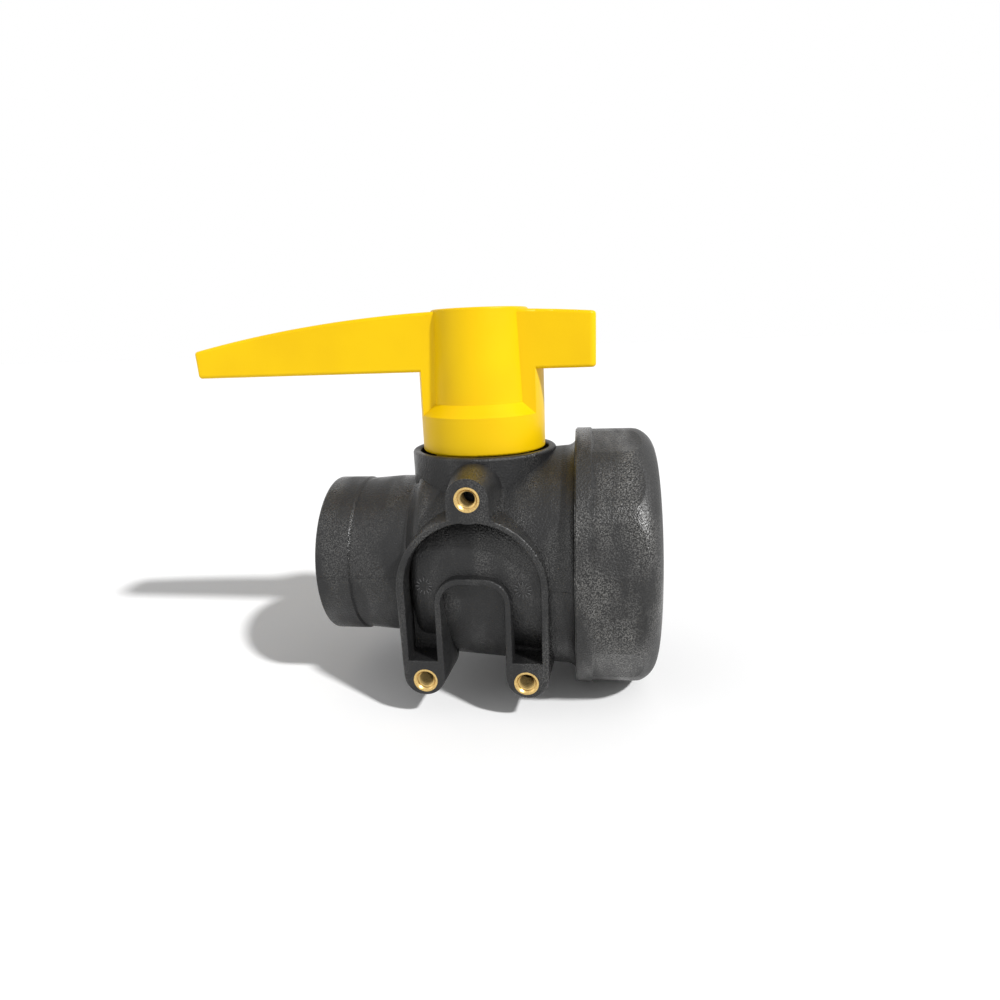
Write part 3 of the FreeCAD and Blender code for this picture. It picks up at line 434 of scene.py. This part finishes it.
# ---------------------------------------------------------------- threads
def thread(name, radius, pitch, height, run, axis):
    """Ridge that winds inwards from a wall of a radius, for a run from 0 along +X or +Y.

    The ridge is a trapezium carried round by the Screw modifier. It fades into the wall over
    its first and last third of a turn, and its root is sunk a little into the wall."""
    sink, steps = 0.12 * height, 48
    root_width, crest_width = 0.80 * pitch, 0.18 * pitch
    turns = (run - root_width) / pitch
    clear_selection()
    bpy.ops.mesh.primitive_plane_add(size=1.0, rotation=(math.pi / 2, 0.0, 0.0))
    piece = added(name)
    piece.scale = (root_width, height + sink, 1.0)
    piece.location = (root_width / 2, 0.0, radius + sink - (height + sink) / 2)
    settle(piece)
    pick(piece, vertices=lambda vertex: vertex.co.z < radius - height / 2)
    bpy.ops.transform.resize(value=(crest_width / root_width, 1.0, 1.0),
                             center_override=(root_width / 2, 0.0, radius))
    bpy.ops.object.mode_set(mode="OBJECT")
    total = int(steps * turns)
    apply_modifier(piece, "SCREW", axis="X", angle=2 * math.pi * turns,
                   screw_offset=pitch * turns, steps=total, render_steps=total,
                   use_merge_vertices=False)

    # the ends fade: each ring of four corners near an end shrinks to its root in the wall
    fade, rings = steps // 3, total + 1
    for ring in list(range(fade)) + list(range(rings - fade, rings)):
        from_end = min(ring, rings - 1 - ring)
        corners = set(range(4 * ring, 4 * ring + 4))
        middle = sum((piece.data.vertices[i].co for i in corners), Vector()) / 4
        outward = Vector((0.0, middle.y, middle.z)).normalized() * (radius + sink)
        pick(piece, vertices=lambda vertex: vertex.index in corners)
        bpy.ops.transform.resize(value=[0.12 + 0.88 * from_end / fade] * 3,
                                 center_override=(middle.x, outward.y, outward.z))
    for ring in (0, rings - 1):
        pick(piece, vertices=lambda vertex: vertex.index // 4 == ring)
        bpy.ops.mesh.edge_face_add()
    bpy.ops.object.mode_set(mode="OBJECT")
    finish_mesh(piece)
    if axis == "Y":
        piece.rotation_euler = (0.0, 0.0, math.pi / 2)
        settle(piece)
    return piece


def mount_run(name):
    """Radius of a round mount and where its wall starts and ends along its axis, in metres."""
    mount = MOUNTS[name]
    axis = max(range(3), key=lambda index: abs(mount["axis"][index]))
    half = mount["dims"]["length_mm"] * MM / 2
    middle = mount["pos_m"][axis]
    return mount["dims"]["r_mm"] * MM, middle - half, middle + half


class VALVE_OT_outlet_thread(bpy.types.Operator):
    """Cut the pipe thread inside the outlet socket"""
    bl_idname = "valve.outlet_thread"
    bl_label = "Outlet thread"

    def execute(self, context):
        s = context.scene.valve_threads
        radius, start, end = mount_run("outlet_thread")
        piece = thread("outlet_thread", radius, s.outlet_pitch, s.outlet_height,
                       end - start - 2.0 * MM, "X")
        piece.location.x = start
        settle(piece)
        dress(piece, FINISHES["body_plastic"], "valve")
        return {"FINISHED"}


class VALVE_OT_tank_thread(bpy.types.Operator):
    """Cut the coarse tank thread inside the union nut"""
    bl_idname = "valve.tank_thread"
    bl_label = "Tank thread"

    def execute(self, context):
        s = context.scene.valve_threads
        radius, start, end = mount_run("tank_thread")
        first = max(start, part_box("tank_gasket")[1].x) + 0.5 * MM
        piece = thread("tank_thread", radius, s.tank_pitch, s.tank_height, end - first, "X")
        piece.location.x = first
        settle(piece)
        dress(piece, FINISHES["nut_plastic"], "nut")
        return {"FINISHED"}


class VALVE_OT_insert_threads(bpy.types.Operator):
    """Cut the M6 thread inside each brass insert"""
    bl_idname = "valve.insert_threads"
    bl_label = "Insert threads"

    def execute(self, context):
        s = context.scene.valve_threads
        radius, start, end = mount_run("top_insert")
        first = thread("insert_thread", radius, s.insert_pitch, s.insert_height, end - start, "Y")
        for node in ("insert_top", "insert_left", "insert_right"):
            low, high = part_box(node)
            activate(first)
            bpy.ops.object.duplicate()
            piece = added(node + "_thread")
            piece.location = ((low.x + high.x) / 2, start, (low.z + high.z) / 2)
            settle(piece)
            dress(piece, FINISHES["insert_brass"], "valve")
        bpy.data.objects.remove(first)
        return {"FINISHED"}


# ---------------------------------------------------------------- screw
class VALVE_OT_handle_screw(bpy.types.Operator):
    """Model the button-head screw that holds the handle, with its hexagon socket"""
    bl_idname = "valve.handle_screw"
    bl_label = "Handle screw"

    def execute(self, context):
        low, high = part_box("handle_screw")
        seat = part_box("handle_washer")[1].z
        head, rise = (high.x - low.x) / 2, high.z - seat
        shank, tip, tip_share = 2.9 * MM, 0.5 * MM, 0.8
        clear_selection()
        bpy.ops.mesh.primitive_cylinder_add(vertices=48, radius=shank, depth=seat - low.z,
                                            location=(0.0, 0.0, (seat + low.z) / 2))
        piece = added("handle_screw_hex")
        settle(piece)
        pick(piece, faces=lambda face: face.normal.z > 0.9)
        bpy.ops.mesh.extrude_region_move()
        bpy.ops.transform.resize(value=(head / shank, head / shank, 1.0))
        # the dome of the button head: each step goes up and in along a quarter of an ellipse
        steps, last, flat = 7, 1.0, 0.52
        for step in range(1, steps + 1):
            turn = math.pi / 2 * step / steps
            width = flat + (1.0 - flat) * math.cos(turn)
            lift = rise * (math.sin(turn) - math.sin(math.pi / 2 * (step - 1) / steps))
            bpy.ops.mesh.extrude_region_move(
                TRANSFORM_OT_translate={"value": (0.0, 0.0, lift)})
            bpy.ops.transform.resize(value=(width / last, width / last, 1.0))
            last = width
        bpy.ops.object.mode_set(mode="OBJECT")
        pick(piece, faces=lambda face: face.normal.z < -0.9 and face.center.z < low.z + 0.1 * MM)
        bpy.ops.mesh.extrude_region_move(TRANSFORM_OT_translate={"value": (0.0, 0.0, -tip)})
        bpy.ops.transform.resize(value=(tip_share, tip_share, 1.0))
        bpy.ops.transform.translate(value=(0.0, 0.0, tip))
        bpy.ops.object.mode_set(mode="OBJECT")
        finish_mesh(piece)

        clear_selection()
        key, depth, drill_point = 2.3 * MM, 2.1 * MM, 0.5 * MM
        bpy.ops.mesh.primitive_cylinder_add(vertices=6, radius=key, depth=depth * 2,
                                            location=(0.0, 0.0, high.z))
        socket = added("key")
        settle(socket)
        pick(socket, faces=lambda face: face.normal.z < -0.9)
        bpy.ops.mesh.extrude_region_move(
            TRANSFORM_OT_translate={"value": (0.0, 0.0, -drill_point)})
        bpy.ops.transform.resize(value=(0.3, 0.3, 1.0))
        bpy.ops.object.mode_set(mode="OBJECT")
        apply_modifier(piece, "BOOLEAN", operation="DIFFERENCE", object=socket, solver="EXACT")
        bpy.data.objects.remove(socket)
        finish_mesh(piece)
        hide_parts("handle_screw")
        dress(piece, FINISHES["screw_steel"], "rotor")
        return {"FINISHED"}


# ---------------------------------------------------------------- mould marks
class VALVE_OT_date_dials(bpy.types.Operator):
    """Raise the two plain date dials on the floor of the mounting plate's recess"""
    bl_idname = "valve.date_dials"
    bl_label = "Date dials"

    def execute(self, context):
        m = context.scene.valve_marks
        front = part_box("valve_body")[0].y - 1.0 * MM
        for side in (-1, 1):
            ticks = []
            middle = Vector((side * m.dial_spread, front, m.dial_height))
            for index in range(m.dial_ticks):
                turn = 2 * math.pi * index / m.dial_ticks
                reach = m.dial_radius - m.tick_length / 2
                start = middle + reach * Vector((math.cos(turn), 0.0, math.sin(turn)))
                place, normal = on_surface("valve_body", start, (0.0, 1.0, 0.0))
                clear_selection()
                bpy.ops.mesh.primitive_cube_add(size=1.0)
                tick = added("tick")
                tick.scale = (m.tick_length, m.tick_width, 4 * m.tick_proud)
                settle(tick)
                pick(tick, faces=lambda face: face.normal.z > 0.9)
                bpy.ops.transform.resize(value=(0.85, 0.4, 1.0))
                bpy.ops.object.mode_set(mode="OBJECT")
                radial = Vector((math.cos(turn), 0.0, math.sin(turn)))
                radial = (radial - normal * radial.dot(normal)).normalized()
                turned = Matrix((radial, normal.cross(radial), normal)).transposed()
                sunk = place - normal * m.tick_proud
                tick.matrix_world = Matrix.Translation(sunk) @ turned.to_4x4()
                settle(tick)
                ticks.append(tick)
            piece = join(ticks, "date_dial_left" if side < 0 else "date_dial_right")
            finish_mesh(piece)
            dress(piece, FINISHES["raised_marks"], "valve")
        return {"FINISHED"}


def bead(name, points, width, proud):
    """Thin bar that follows a line of surface points, each given with its normal."""
    clear_selection()
    first, normal = points[0]
    bpy.ops.mesh.primitive_plane_add(size=1.0)
    piece = added(name)
    along = (points[1][0] - first).normalized()
    side = normal.cross(along).normalized()
    turned = Matrix((side, normal, side.cross(normal))).transposed()
    piece.matrix_world = (Matrix.Translation(first) @ turned.to_4x4()
                          @ Matrix.Diagonal((width, 2 * proud, 1.0, 1.0)))
    settle(piece)
    pick(piece, faces=lambda face: True)
    for (start, _), (end, _) in zip(points, points[1:]):
        bpy.ops.mesh.extrude_region_move(TRANSFORM_OT_translate={"value": end - start})
    bpy.ops.object.mode_set(mode="OBJECT")
    finish_mesh(piece)
    return piece


class VALVE_OT_mould_lines(bpy.types.Operator):
    """Raise the mould's parting line along the front and the back of the body"""
    bl_idname = "valve.mould_lines"
    bl_label = "Mould lines"

    def execute(self, context):
        m = context.scene.valve_marks
        low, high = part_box("valve_body")
        edge = 1.2 * MM
        spans = {"socket_line_front": (-1, low.x + edge, -27.5 * MM),
                 "barrel_line_front": (-1, 26.2 * MM, high.x - edge),
                 "socket_line_back": (1, low.x + edge, -26.5 * MM),
                 "barrel_line_back": (1, -18.0 * MM, high.x - edge)}
        for name, (side, start, end) in spans.items():
            count = max(int((end - start) / (1.5 * MM)), 2)
            outside = side * (max(-low.y, high.y) + 5.0 * MM)
            points = [on_surface("valve_body",
                                 (start + (end - start) * step / count, outside, 0.0),
                                 (0.0, -side, 0.0)) for step in range(count + 1)]
            piece = bead(name, points, m.line_width, m.line_proud)
            dress(piece, FINISHES["body_plastic"], "valve")
        return {"FINISHED"}


# ---------------------------------------------------------------- stage
def soft_sun(name, direction, strength, size):
    """A soft lamp whose light comes from a direction."""
    lamp = bpy.data.lights.new(name, "SUN")
    lamp.energy = strength
    lamp.angle = size
    item = bpy.data.objects.new(name, lamp)
    item.rotation_euler = Vector(direction).to_track_quat("Z", "Y").to_euler()
    bpy.context.scene.collection.objects.link(item)


def seen_rays(nodes, links):
    """1 for the rays that see the background directly, in gloss or through glass."""
    rays = nodes.new("ShaderNodeLightPath")
    first, second = nodes.new("ShaderNodeMath"), nodes.new("ShaderNodeMath")
    first.operation = second.operation = "MAXIMUM"
    links.new(rays.outputs["Is Camera Ray"], first.inputs[0])
    links.new(rays.outputs["Is Glossy Ray"], first.inputs[1])
    links.new(first.outputs["Value"], second.inputs[0])
    links.new(rays.outputs["Is Transmission Ray"], second.inputs[1])
    return second.outputs["Value"]


class VALVE_OT_stage(bpy.types.Operator):
    """Set up the floor, the light all round, the lamps and the camera"""
    bl_idname = "valve.stage"
    bl_label = "Stage"

    def execute(self, context):
        s = context.scene.valve_stage
        clear_selection()
        level = CAD_BOX[0][2] - s.floor_gap
        bpy.ops.mesh.primitive_plane_add(size=s.floor_size, location=(0.0, 0.0, level))
        floor = added("floor")
        paper = Finish("pale_paper", (0.97, 0.97, 0.97), 0.9, specular=0.1)
        shade = paper.noise(0.4, 1.0)
        paper.blend(paper.spread(shade, 0.3, 0.7, 0.0, 1.0),
                    (0.965, 0.965, 0.965), (0.975, 0.975, 0.975))
        floor.data.materials.append(paper.material)

        world = bpy.data.worlds.new("room")
        context.scene.world = world
        world.use_nodes = True
        nodes, links = world.node_tree.nodes, world.node_tree.links
        room = nodes["Background"]
        room.inputs["Color"].default_value = (1.0, 1.0, 1.0, 1.0)
        level_for_rays = nodes.new("ShaderNodeMapRange")
        level_for_rays.inputs["To Min"].default_value = s.sky_strength
        level_for_rays.inputs["To Max"].default_value = 1.0
        links.new(seen_rays(nodes, links), level_for_rays.inputs["Value"])
        links.new(level_for_rays.outputs["Result"], room.inputs["Strength"])

        soft_sun("key", (0.75, -0.52, 0.85), s.key_strength, s.key_size)
        soft_sun("fill", (-0.9, -0.6, 0.5), s.fill_strength, math.radians(40))

        lens = bpy.data.cameras.new("camera")
        lens.lens, lens.sensor_width = s.lens, 36.0
        lens.clip_start, lens.clip_end = 0.01, 50.0
        camera = bpy.data.objects.new("camera", lens)
        turn = (Matrix.Rotation(-s.camera_yaw, 3, "Z")
                @ Matrix.Rotation(math.pi / 2 - s.camera_pitch, 3, "X")
                @ Matrix.Rotation(s.camera_roll, 3, "Z"))
        camera.rotation_euler = turn.to_euler()
        camera.location = s.camera_place
        context.scene.collection.objects.link(camera)
        context.scene.camera = camera
        context.scene.view_settings.view_transform = "Standard"
        return {"FINISHED"}


# ---------------------------------------------------------------- panel and registration
class VALVE_PT_parts(bpy.types.Panel):
    """Lists the pieces in the order in which they are made"""
    bl_idname = "VALVE_PT_parts"
    bl_label = "Tank outlet valve"
    bl_space_type = "VIEW_3D"
    bl_region_type = "UI"
    bl_category = "Valve"

    def draw(self, context):
        for operator in OPERATORS:
            self.layout.operator(operator.bl_idname)
        for group, _ in GROUPS:
            settings = getattr(context.scene, group)
            box = self.layout.box()
            for name in settings.__annotations__:
                box.prop(settings, name)


OPERATORS = (VALVE_OT_finishes, VALVE_OT_outlet_thread, VALVE_OT_tank_thread,
             VALVE_OT_insert_threads, VALVE_OT_handle_screw, VALVE_OT_date_dials,
             VALVE_OT_mould_lines, VALVE_OT_stage)
GROUPS = (("valve_threads", ValveThreads), ("valve_marks", ValveMarks),
          ("valve_colours", ValveColours), ("valve_stage", ValveStage))


def register():
    for _, group in GROUPS:
        bpy.utils.register_class(group)
    for item in OPERATORS + (VALVE_PT_parts,):
        bpy.utils.register_class(item)
    for name, group in GROUPS:
        setattr(bpy.types.Scene, name, bpy.props.PointerProperty(type=group))


def unregister():
    for name, _ in GROUPS:
        delattr(bpy.types.Scene, name)
    for item in (VALVE_PT_parts,) + OPERATORS[::-1]:
        bpy.utils.unregister_class(item)
    for _, group in GROUPS[::-1]:
        bpy.utils.unregister_class(group)


def main():
    register()
    bpy.ops.valve.finishes()
    bpy.ops.valve.outlet_thread()
    bpy.ops.valve.tank_thread()
    bpy.ops.valve.insert_threads()
    bpy.ops.valve.handle_screw()
    bpy.ops.valve.date_dials()
    bpy.ops.valve.mould_lines()
    bpy.ops.valve.stage()


if __name__ == "__main__":
    main()
